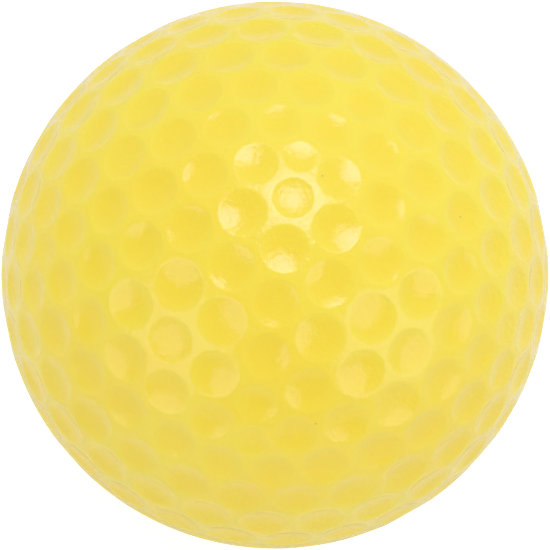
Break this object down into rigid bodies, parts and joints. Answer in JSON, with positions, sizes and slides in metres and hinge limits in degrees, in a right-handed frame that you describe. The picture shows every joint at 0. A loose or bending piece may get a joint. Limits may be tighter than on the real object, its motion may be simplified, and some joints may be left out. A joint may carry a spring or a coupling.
{
  "type": "golf ball",
  "caption": "Solid yellow golf ball: rubber core, mantle and a dimpled two-half cover with an interlocking parting line. Struck off a tee or the ground.",
  "frame": {"origin": "the centre of the ball", "axes": "+Z through the small dimple at the pole of the upper cover half; the parting line runs round the ball on the XY plane; -Y is the side that the picture's view leans over"},
  "size_m": [0.0426, 0.0426, 0.0426],
  "materials": {
    "core_rubber": "matt moulded rubber",
    "mantle_plastic": "satin moulded ionomer",
    "cover_plastic": "gloss, slightly translucent"
  },
  "bodies": {
    "root": {"core": "core_rubber", "mantle": "mantle_plastic", "cover_half_upper": "cover_plastic", "cover_half_lower": "cover_plastic"}
  },
  "joints": []
}
